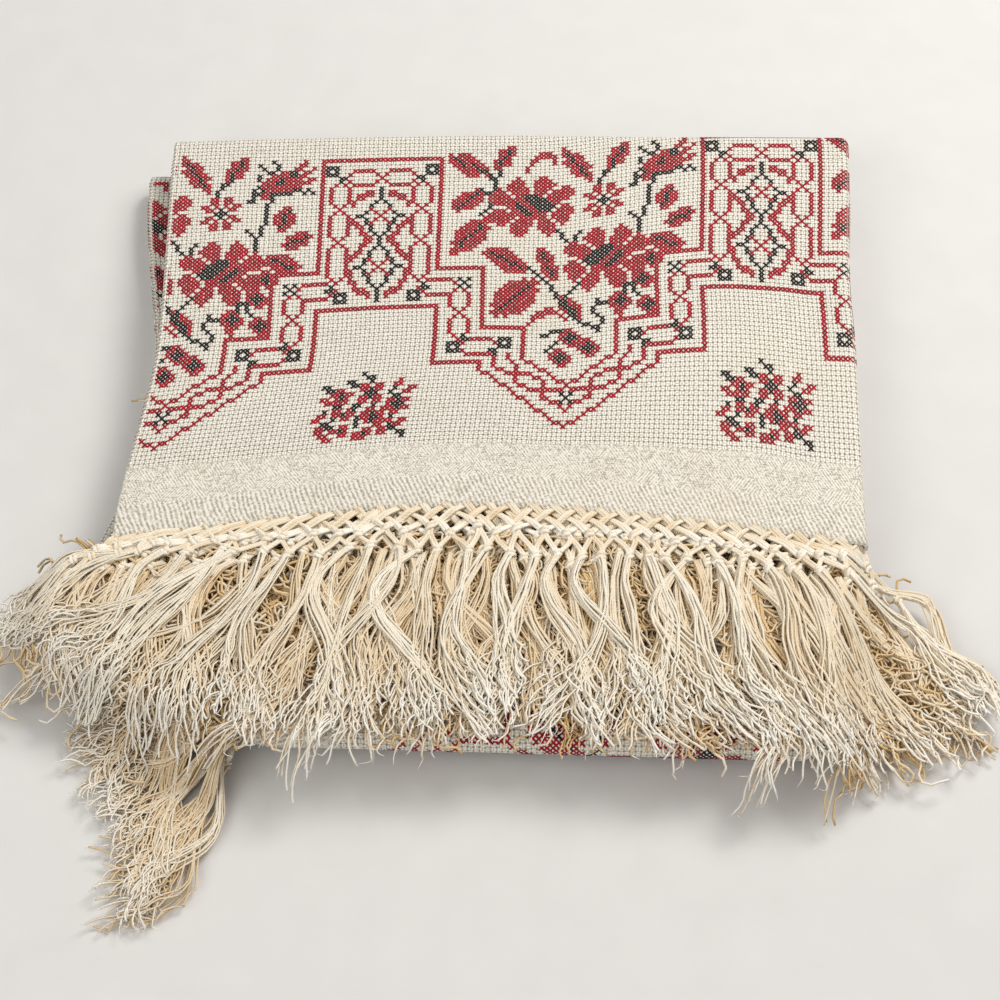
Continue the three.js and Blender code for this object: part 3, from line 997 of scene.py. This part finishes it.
CORD_BOW = 0.9 * MM
CORD_LIFT = 1.1 * MM
LINK_BOW = 1.3 * MM
LINK_LIFT = 0.8 * MM
LINK_ARCH = 0.7 * MM
KNOT_TURNS = 1.8
KNOT_LIFT = 1.1 * MM
KNOT_RISE = 1.2 * MM
LOCK_PARTS = (1.5 * MM, 2.0 * MM)
LOCK_WAVER = 0.9 * MM
SPREADS = (1.8 * MM, 1.0 * MM, 1.5 * MM)
PILES = (1.3 * MM, 0.7 * MM)
TASSEL_LIFT = 1.5 * MM
CRIMP = 0.3 * MM
KINK = 0.5 * MM
HOOK = 3.2 * MM
LOOSE_FROM = 0.5
LOOSE_OVER = 0.4
NEAREST_TANGLE = 14 * MM
ROUGH_FRONT = 0.9 * MM
ROUGH_SIDE = 0.7 * MM
ROUGH_HIDDEN = 0.4 * MM
REACH_RIGHT = (205 * MM, 26 * MM)
REACH_LEFT = (-212 * MM, -30 * MM)
REACH_FRONT = (-248 * MM, -30 * MM)

# Lie of the front fringe, in millimetres along the hem: how far it leans to the right, and its length
FAN_PLACES = (-180, -165, -150, -130, -105, -70, -25, 40, 85, 115, 140, 158, 172)
FAN_LEAN = (-1.7, -1.8, -1.6, -1.15, -0.7, -0.25, -0.05, 0.03, 0.12, 0.36, 0.7, 1.05, 1.4)
FAN_LENGTH = (0.58, 0.68, 0.8, 0.94, 1.04, 1.04, 1.0, 0.98, 1.0, 1.02, 0.98, 0.9, 0.8)
CROWDED = (-15 * MM, 90 * MM)
LONG_TASSELS = ((-52, 1.22), (134, 1.12), (-118, 1.08))


def held(value, start, room):
    """Lets a place run on past start by no more than room."""
    past = np.maximum((value - start) / room, 0)
    return np.where(past > 0, start + room * np.tanh(past), value)


def pack_past(x, y):
    """How far a place in plan lies outside the second panel, which carries the front fringe."""
    back, front = fold_line("back_fold", x), fold_line("front_fold", x)
    along = 1 + np.clip((back - y) / (back - front), 0, 1)
    beside = np.maximum(x - layer_edge("right", along), layer_edge("left", along) - x)
    return np.hypot(np.maximum(0, front - y), np.maximum(0, beside))


class Edge:
    """A fringed edge: where its cords leave the cloth, which way they lie and where its knots are."""

    def __init__(self, u, v, ways, pile, floor_pile, lengths, rough):
        self.root = folded(u, v, 0)
        self.ways = np.array(ways, float)
        self.pile = pile
        self.floor_pile = floor_pile
        self.lengths = np.broadcast_to(lengths, len(self.root))
        steps = np.linalg.norm(np.diff(self.root, axis=0), axis=1)
        self.places = np.concatenate([[0], np.cumsum(steps)])
        self.count = max(2, round(self.places[-1] / KNOT_PITCH))
        number = np.arange(self.count + 1)
        from_middle = self.at(number, self.root[:, 0]) - DROOP_MIDDLE
        droop = DROOP * np.exp(-(from_middle / DROOP_REACH) ** 2)
        self.first = number[:-1] + 0.5 + UNEVEN.normal(0, 0.13, self.count)
        self.first_past = FIRST_KNOTS + UNEVEN.normal(0, rough, self.count)
        self.second = number + UNEVEN.normal(0, 0.16, self.count + 1)
        self.second_past = SECOND_KNOTS + droop + UNEVEN.normal(0, rough * 1.6, self.count + 1)

    def at(self, place, table):
        """Value of a table along the edge at places counted in knots."""
        metres = np.clip(np.asarray(place, float), 0, self.count) * self.places[-1] / self.count
        if table.ndim == 1:
            return np.interp(metres, self.places, table)
        return np.stack([np.interp(metres, self.places, table[:, k]) for k in range(table.shape[1])], -1)

    def lay(self, place, past, sideways, lift):
        """Points of the fringe past the edge: down onto the pack, and over its side to the floor."""
        place, past, sideways, lift = np.broadcast_arrays(place, past, sideways, lift)
        root = self.at(place, self.root)
        way = unit(self.at(place, self.ways))
        x = root[..., 0] + way[..., 0] * past - way[..., 1] * sideways
        y = root[..., 1] + way[..., 1] * past + way[..., 0] * sideways
        x = held(x, *REACH_RIGHT)
        x = held(x, *REACH_LEFT)
        y = held(y, *REACH_FRONT)
        z = root[..., 2]
        settled = np.minimum(z, self.pile * swell(x, y))
        z = z + (settled - z) * ease(past / SETTLE_REACH)
        fall = ease((pack_past(x, y) - RIM_ROOM) / FLOOR_REACH)
        z = z + (np.minimum(z, self.floor_pile) - z) * fall
        return np.stack([x, y, np.maximum(z + lift, LOWEST)], -1)


def cord(bundle, edge, place, past, sideways, lift, yarns):
    """A cord of a few yarns side by side, or one plain tube where nobody sees it."""
    if not yarns:
        bundle.tubes(edge.lay(place, past, sideways, lift), CORD_RADIUS, 4, 0.6)
        return
    for k in range(yarns):
        aside = (k - (yarns - 1) / 2) * CORD_YARN_APART
        higher = 0.3 * MM if k == 1 else 0
        paths = edge.lay(place, past, sideways + aside, lift + higher)
        bundle.tubes(paths, CORD_YARN_RADIUS, 4, tone=UNEVEN.uniform(0.55, 1, len(paths)))


def heading(bundle, edge, shown):
    """Cords that cross over and under, two rows of knots, and short cords between them."""
    count = edge.count
    steps = np.linspace(0, 1, 9 if shown else 5)
    k = np.arange(count + 1)
    for side, reach in ((1, 1), (-1, -2)):
        knot = np.clip(k + reach, 0, count - 1)
        place = k[:, None] + (edge.first[knot] - k)[:, None] * steps
        past = -ROOT_INSET + (edge.first_past[knot][:, None] + ROOT_INSET) * steps
        over = side * CORD_OVER * np.cos(3 * np.pi * steps)
        bow = UNEVEN.normal(0, CORD_BOW, (count + 1, 1)) * np.sin(np.pi * steps)
        cord(bundle, edge, place, past, bow, over + CORD_LIFT, 3 if shown else 0)
    steps = np.linspace(0, 1, 7 if shown else 3)
    m = np.arange(count)
    for side in (0, 1):
        place = edge.first[:, None] + (edge.second[m + side] - edge.first)[:, None] * ease(steps)
        fall = edge.second_past[m + side] - edge.first_past
        past = edge.first_past[:, None] + fall[:, None] * steps
        bow = UNEVEN.normal(0, LINK_BOW, (count, 1)) * np.sin(np.pi * steps)
        lift = LINK_LIFT + LINK_ARCH * np.sin(np.pi * steps)
        cord(bundle, edge, place, past, bow, lift, 2 if shown else 0)
    turns = np.linspace(0, KNOT_TURNS * math.tau, 12 if shown else 5)
    for place, past in ((edge.first, edge.first_past), (edge.second, edge.second_past)):
        tilt = UNEVEN.uniform(-0.5, 0.5, (len(place), 1))
        plump = UNEVEN.uniform(0.85, 1.2, (len(place), 1))
        round_x = KNOT_RADIUS * plump * np.cos(turns)
        coil = past[:, None] + (turns / math.tau - KNOT_TURNS / 2) * KNOT_RADIUS + tilt * round_x
        lift = KNOT_LIFT + KNOT_RISE * plump * np.sin(turns)
        paths = edge.lay(place[:, None], coil, round_x, lift)
        tones = UNEVEN.uniform(0.7, 1, len(place))
        bundle.tubes(paths, KNOT_YARN_RADIUS, 5 if shown else 3, 0.95, tone=tones)


def tassels(bundle, edge, places, yarns, steps, sway, tone, longer=1.0, wander=1.0):
    """Yarns below the knots: a bundle that bends as one, parts into locks and curls at the ends."""
    places = np.asarray(places, float)
    starts_at = np.interp(places, np.arange(edge.count + 1), edge.second)[:, None, None]
    neck = np.interp(places, np.arange(edge.count + 1), edge.second_past)[:, None, None]
    longer = np.broadcast_to(longer, len(places))[:, None, None]
    each, every = (len(places), 1, 1), (len(places), yarns, 1)
    share = 1 - (1 - np.linspace(0, 1, steps)) ** 1.6
    length = FRINGE_LENGTH * edge.at(starts_at, edge.lengths) * UNEVEN.uniform(0.86, 1.06, each)
    length = length * UNEVEN.uniform(0.88, 1.04, every) * longer
    run = np.maximum(length - neck, SHORTEST_RUN)
    wild = np.where(UNEVEN.random(each) < WILD_SHARE, WILD_SWAY, 1)
    bend = wild * UNEVEN.normal(0, sway, each) * run * share ** 1.3
    for waves, reach in TASSEL_WAVES:
        bend = bend + UNEVEN.normal(0, reach, each) * np.sin(np.pi * waves * share)
    bend = bend * np.where(longer > 1, 0.3, wander)
    lock = UNEVEN.integers(0, LOCKS, (len(places), yarns))
    parting = np.take_along_axis(UNEVEN.normal(0, 1, (len(places), LOCKS)), lock, 1)[..., None]
    waver = np.take_along_axis(UNEVEN.uniform(0, math.tau, (len(places), LOCKS)), lock, 1)[..., None]
    loose = ease((share - LOOSE_FROM) / LOOSE_OVER)
    near, far = LOCK_PARTS
    locks = parting * (near * ease(share / 0.45) + far * ease((share - 0.45) / 0.55))
    locks = locks + LOCK_WAVER * ease(share / 0.5) * np.sin(math.tau * 1.7 * share + waver)
    angle = UNEVEN.uniform(0, math.tau, every)
    out = np.sqrt(UNEVEN.uniform(0.05, 1, every))
    spread = SPREADS[0] + SPREADS[1] * ease(share / 0.5) + SPREADS[2] * loose
    start = UNEVEN.uniform(0, math.tau, every)
    crimp = CRIMP * np.sin(math.tau * UNEVEN.uniform(3, 5, every) * share + start)
    kink = KINK * loose * np.sin(UNEVEN.uniform(6, 10, every) * math.tau * share + start * 3)
    turning = math.tau * UNEVEN.uniform(3, 7, every) * (share - 0.5) + start
    size = UNEVEN.uniform(0.3, 2.4, every) * MM * loose
    hooked = UNEVEN.normal(0, HOOK, every) * loose ** 2
    strayed = wander * (locks + crimp + kink + size * np.sin(turning) + hooked)
    sideways = bend + out * np.cos(angle) * spread + strayed
    past = neck + run * share + wander * (size * np.cos(turning) - np.abs(hooked) * 0.7 * loose)
    pile = PILES[0] + PILES[1] * ease(share / 0.7)
    lift = TASSEL_LIFT + out * np.sin(angle) * pile + 0.7 * size * np.cos(turning + 1) * wander
    lift = lift * min(1, 2 * wander)
    paths = edge.lay(starts_at, past, sideways, lift).reshape(-1, steps, 3)
    radius = YARN_RADIUS * np.interp(share, (0, 0.6, 1), (1.05, 1, 0.9))
    # Painted light and shade: yarns that lie higher in the bundle get a lighter tone, lower ones a more
    # golden one; the rest of the tone is random
    tones = tone + UNEVEN.normal(0, 0.08, each) + 0.25 * out * np.sin(angle)
    tones = tones + UNEVEN.normal(0, 0.05, every)
    bundle.tubes(paths, radius, 3, tone=np.clip(tones, 0, 1).ravel())
    return paths[:, -3:]


def tangle(bundle, edge, number, shortest, longest, lowest, highest, tone):
    """Loose yarns that curl over each other under the tassels, golden as painted shade."""
    one = (number, 1)
    share = np.linspace(0, 1, 11)
    turn = UNEVEN.uniform(0, math.tau, one)
    facing = turn + UNEVEN.normal(0, 2.4, one) * share + 1.1 * np.sin(math.tau * 1.4 * share + 2 * turn)
    stride = UNEVEN.uniform(22, 44, one) * MM / 10
    place = UNEVEN.uniform(0, edge.count, one) + 0 * share
    past = UNEVEN.uniform(shortest, longest, one) * FRINGE_LENGTH * edge.at(place[:, :1], edge.lengths)
    past = np.maximum(past + np.cumsum(np.sin(facing), 1) * stride, NEAREST_TANGLE)
    sideways = np.cumsum(np.cos(facing), 1) * stride
    height = UNEVEN.uniform(0, 1, one)
    lift = lowest + (highest - lowest) * height + 0.7 * MM * np.sin(math.tau * share + turn)
    # Painted shade: the tangle's low tone makes it golden, and yarns that lie higher are lighter
    tones = tone + 0.35 * height[:, 0] + UNEVEN.normal(0, 0.1, number)
    bundle.tubes(edge.lay(place, past, sideways, lift), YARN_RADIUS * 1.15, 3, tone=np.clip(tones, 0, 1))


def ravelled_ends(bundle, paths, fibres):
    """Loose fibres that splay from the cut ends of the yarns."""
    end = np.repeat(paths[:, -1], fibres, axis=0)
    way = unit(np.repeat(paths[:, -1] - paths[:, -3], fibres, axis=0))
    way = way + UNEVEN.normal(0, 0.35, way.shape)
    way[:, 2] = way[:, 2] * 0.5
    hook = UNEVEN.normal(0, 1.1, way.shape)
    share = np.linspace(-0.25, 1, 4)[:, None]
    reach = FIBRE_LENGTH * UNEVEN.uniform(0.4, 1, (len(end), 1, 1))
    ends = end[:, None] + reach * (way[:, None] * share + hook[:, None] * share * share * 0.6)
    ends[..., 2] = np.maximum(ends[..., 2], LOWEST)
    radius = FIBRE_RADIUS * np.linspace(1.3, 0.6, 4)
    bundle.tubes(ends, radius, 3, ravelled=True, tone=np.full(len(ends), 0.9))


# Layers of the front fringe from the lowest: run across the cloth, layer counted from the top, yarns of
# a tassel, points of a yarn, share of the fan, sway, share of the length and tone, which is lower and so
# more golden for the lower layers as painted shade
FRONT_LAYERS = (
    (6, 3, 12, 13, 0.4, 0.16, 1.05, 0.25),
    (0, 2, 12, 13, 0.3, 0.16, 1.02, 0.35),
    (2, 1, 15, 22, 0.5, 0.22, 1.0, 0.5),
    (4, 0, 17, 27, 1.0, 0.17, 1.0, 0.8),
)
FILLING_TASSELS = {"yarns": 15, "steps": 20, "sway": 0.2, "tone": 0.6}
TANGLED_YARNS = 1700
TANGLE_DROP = 3.5 * MM
TANGLE_DEPTH = 4.2 * MM


def front_fringe():
    """The hem's fringe, one layer on another."""
    cords, upper, lower, under, ends = (Bundle() for _ in range(5))
    hem = np.zeros(60)
    for run, level, yarns, steps, fan, sway, length, tone in FRONT_LAYERS:
        u = np.linspace(ACROSS_STARTS[run], ACROSS_STARTS[run + 1], len(hem))
        x = folded(u, hem, 0)[:, 0] / MM
        lean = np.interp(x, FAN_PLACES, FAN_LEAN) * fan
        above = 3 - level
        edge = Edge(
            u,
            hem,
            np.stack([lean, hem - 1], -1),
            SECOND_PANEL_TOP + (1.4 + 2.1 * above) * MM,
            (1.2 + 2.4 * above) * MM,
            np.interp(x, FAN_PLACES, FAN_LENGTH) * length,
            ROUGH_FRONT,
        )
        heading(cords, edge, level < 2)
        places = np.arange(edge.count + 1.0)
        at_x = edge.at(places, edge.root[:, 0])
        longer = np.ones(len(places))
        if level == 0:
            for place, factor in LONG_TASSELS:
                longer[np.argmin(np.abs(at_x - place * MM))] = factor
        shown = upper if level < 2 else lower
        hung = tassels(shown, edge, places, yarns, steps, sway, tone, longer)
        ravelled_ends(ends, hung[::2], 1)
        if level == 1:
            between = places[:-1][(at_x[:-1] > CROWDED[1]) | (at_x[:-1] < CROWDED[0])] + 0.5
            ravelled_ends(ends, tassels(lower, edge, between, **FILLING_TASSELS), 1)
            edge.pile = edge.pile - TANGLE_DROP
            tangle(under, edge, TANGLED_YARNS, 0.16, 0.88, 0, TANGLE_DEPTH, 0.1)
    return {
        "heading": cords,
        "tassels_upper": upper,
        "tassels_lower": lower,
        "tangle": under,
        "ravelled_ends": ends,
    }


SPILL_FROM = -98 * MM
SPILL_COUNT = 19
SPILL_TASSELS = {"yarns": 14, "steps": 22, "sway": 0.13, "tone": 0.55}
SPILL_LENGTH = 0.76
SPILL_LONGER = 0.18
SWING_REACH = 62 * MM
SWING_FROM = math.radians(18)
SWING_BY = math.radians(48)
HIDDEN_TASSELS = {"yarns": 4, "steps": 5, "sway": 0.02, "tone": 0.4, "wander": 0.15}
HIDDEN_ROOM = 14 * MM
HIDDEN_SHARES = (0.3, 0.95)
HIDDEN_PILE = 3 * MM
TO_LEFT = (-1.0, 0.0)
TO_FRONT = (0.0, -1.0)
FAR_LENGTH = 0.9
PEEPING = (122 * MM, 14 * MM)
PEEPING_REACH = 6 * MM
PEEPING_LENGTH = 1.22


def side_near(y, front):
    """How near the front fold a place on the side edge is, from 0 to 1."""
    return 1 - ease((y - front) / SWING_REACH)


def side_ways(y, front):
    """The side fringe lies to the left, and swings forward near the front fold."""
    swing = SWING_FROM + SWING_BY * side_near(y, front)
    return np.stack([-np.cos(swing), -np.sin(swing)], -1)


def hidden_lengths(root, along):
    """Shares of the fringe's length that stay inside the pack."""
    room = root[:, 0] - layer_edge("left", along) - HIDDEN_ROOM
    return np.clip(room / FRINGE_LENGTH, *HIDDEN_SHARES)


def flat_runs(runs, word, count):
    """Each run that is a layer or a panel, with places along it."""
    for run, start, stop in zip(runs, starts(runs), starts(runs)[1:]):
        if word in run:
            yield run[word], np.linspace(start, stop, count)


def side_fringe():
    """The last side edge's fringe: hidden between the panels, and spilled out at the front corner."""
    cords, yarns, ends = Bundle(), Bundle(), Bundle()
    for panel, v in flat_runs(ALONG, "panel", 50):
        u = np.full(len(v), CLOTH_WIDTH)
        root = folded(u, v, 0)
        front = fold_line("front_fold", root[:, 0])
        spilled = panel in (1, 2)
        ways = side_ways(root[:, 1], front) if spilled else np.tile(TO_LEFT, (len(v), 1))
        lengths = hidden_lengths(root, along_count(v))
        if spilled:
            longer = SPILL_LENGTH + SPILL_LONGER * side_near(root[:, 1], front)
            lengths = np.where(root[:, 1] < SPILL_FROM, longer, lengths)
        edge = Edge(u, v, ways, root[0, 2], HIDDEN_PILE, lengths, ROUGH_SIDE)
        places = np.arange(edge.count + 1.0)
        out = (edge.at(places, edge.root[:, 1]) < SPILL_FROM) & spilled
        heading(cords, edge, False)
        if out.any():
            crowded = np.linspace(places[out].min(), places[out].max(), SPILL_COUNT)
            ravelled_ends(ends, tassels(yarns, edge, crowded, **SPILL_TASSELS), 1)
        tassels(yarns, edge, places[~out][1:-1], **HIDDEN_TASSELS)
    return {"heading": cords, "tassels": yarns, "ravelled_ends": ends}


def hidden_fringe(cords, yarns, u, v, way, lengths):
    """A fringe that lies flat between the layers."""
    ways = np.tile(way, (len(u), 1))
    edge = Edge(u, v, ways, folded(u, v, 0)[0, 2], HIDDEN_PILE, lengths, ROUGH_HIDDEN)
    heading(cords, edge, False)
    tassels(yarns, edge, np.arange(1, edge.count), **HIDDEN_TASSELS)


def inner_fringe():
    """The first side edge's fringe, which lies inside the pack."""
    cords, yarns = Bundle(), Bundle()
    for panel, v in flat_runs(ALONG, "panel", 40):
        root = folded(0, v, 0)
        lengths = hidden_lengths(root, along_count(v))
        for y in PEEPING if panel == 2 else ():
            lengths = np.where(np.abs(root[:, 1] - y) < PEEPING_REACH, PEEPING_LENGTH, lengths)
        hidden_fringe(cords, yarns, np.zeros(len(v)), v, TO_LEFT, lengths)
    return {"heading": cords, "tassels": yarns}


def far_fringe():
    """The opposite hem's fringe, which lies under the pack."""
    cords, yarns = Bundle(), Bundle()
    for _, u in flat_runs(ACROSS, "layer", 40):
        hidden_fringe(cords, yarns, u, np.full(len(u), CLOTH_LENGTH), TO_FRONT, FAR_LENGTH)
    return {"heading": cords, "tassels": yarns}


# The pieces
cloth = on_part(folded_cloth(), "cloth", "cloth")
cells = worked_cells(embroidery())
for colour, finish in (
    ("red", thread_finish("crimson_thread", CRIMSON, CRIMSON_DEEP_AND_SHADE)),
    ("black", thread_finish("black_thread", BLACK_THREAD, BLACK_DEEP_AND_SHADE)),
):
    bundle = Bundle()
    cross_stitches(bundle, [stitch for stitch in cells if stitch[2] == colour])
    on_part(bundle.piece(f"stitches_{colour}", finish), "cloth")
YARN = yarn_finish()
for name, make in (
    ("front", front_fringe),
    ("side", side_fringe),
    ("inner", inner_fringe),
    ("far", far_fringe),
):
    for kind, bundle in make().items():
        on_part(bundle.piece(f"{name}_{kind}", YARN), "fringe", f"fringe_{name}")


# The floor, the light and the camera
def floor_finish():
    finish = Finish("pale_floor", 0.9, 0.0)
    grain = finish.noise(finish.objects_place(), 40, 3)
    colour = finish.mix(grain, dye(214, 213, 211), dye(222, 221, 219))
    finish.shade(colour, grain, 0.05 * MM, 0.2)
    return finish.material


def pale_floor():
    ground = bmesh.new()
    bmesh.ops.create_grid(ground, x_segments=2, y_segments=2, size=3)
    mesh = bpy.data.meshes.new("floor")
    ground.to_mesh(mesh)
    ground.free()
    floor = finished("floor", mesh, floor_finish())
    return floor


def soft_light(name, place, target, size, power, colour):
    lamp = bpy.data.lights.new(name, "AREA")
    lamp.size = size
    lamp.energy = power
    lamp.color = colour
    light = bpy.data.objects.new(name, lamp)
    light.location = place
    light.rotation_euler = (Vector(target) - Vector(place)).to_track_quat("-Z", "Y").to_euler()
    bpy.context.scene.collection.objects.link(light)


LOOK_AT = Vector((0, -0.055, 0.034))
VIEW_DISTANCE = 1.058
VIEW_RISE = math.radians(57)
SENSOR_WIDTH = 36
FOCAL_PIXELS = 2300
PHOTO_PIXELS = 1000

floor = pale_floor()
soft_light("key", (0.75, 0.6, 1.3), (0, 0, 0), 0.7, 19, (1, 0.975, 0.94))
soft_light("fill", (-0.9, -0.8, 1.2), (0, -0.05, 0), 1.2, 9, (1, 0.98, 0.95))
world = bpy.data.worlds.new("studio")
world.use_nodes = True
world.node_tree.nodes["Background"].inputs["Color"].default_value = (1, 0.985, 0.965, 1)
world.node_tree.nodes["Background"].inputs["Strength"].default_value = 0.42
bpy.context.scene.world = world
bpy.context.scene.view_settings.view_transform = "Standard"

lens = bpy.data.cameras.new("camera")
lens.sensor_width = SENSOR_WIDTH
lens.lens = SENSOR_WIDTH * FOCAL_PIXELS / PHOTO_PIXELS
camera = bpy.data.objects.new("camera", lens)
camera.location = LOOK_AT + VIEW_DISTANCE * Vector((0, -math.cos(VIEW_RISE), math.sin(VIEW_RISE)))
camera.rotation_euler = (LOOK_AT - camera.location).to_track_quat("-Z", "Y").to_euler()
bpy.context.scene.collection.objects.link(camera)
bpy.context.scene.camera = camera
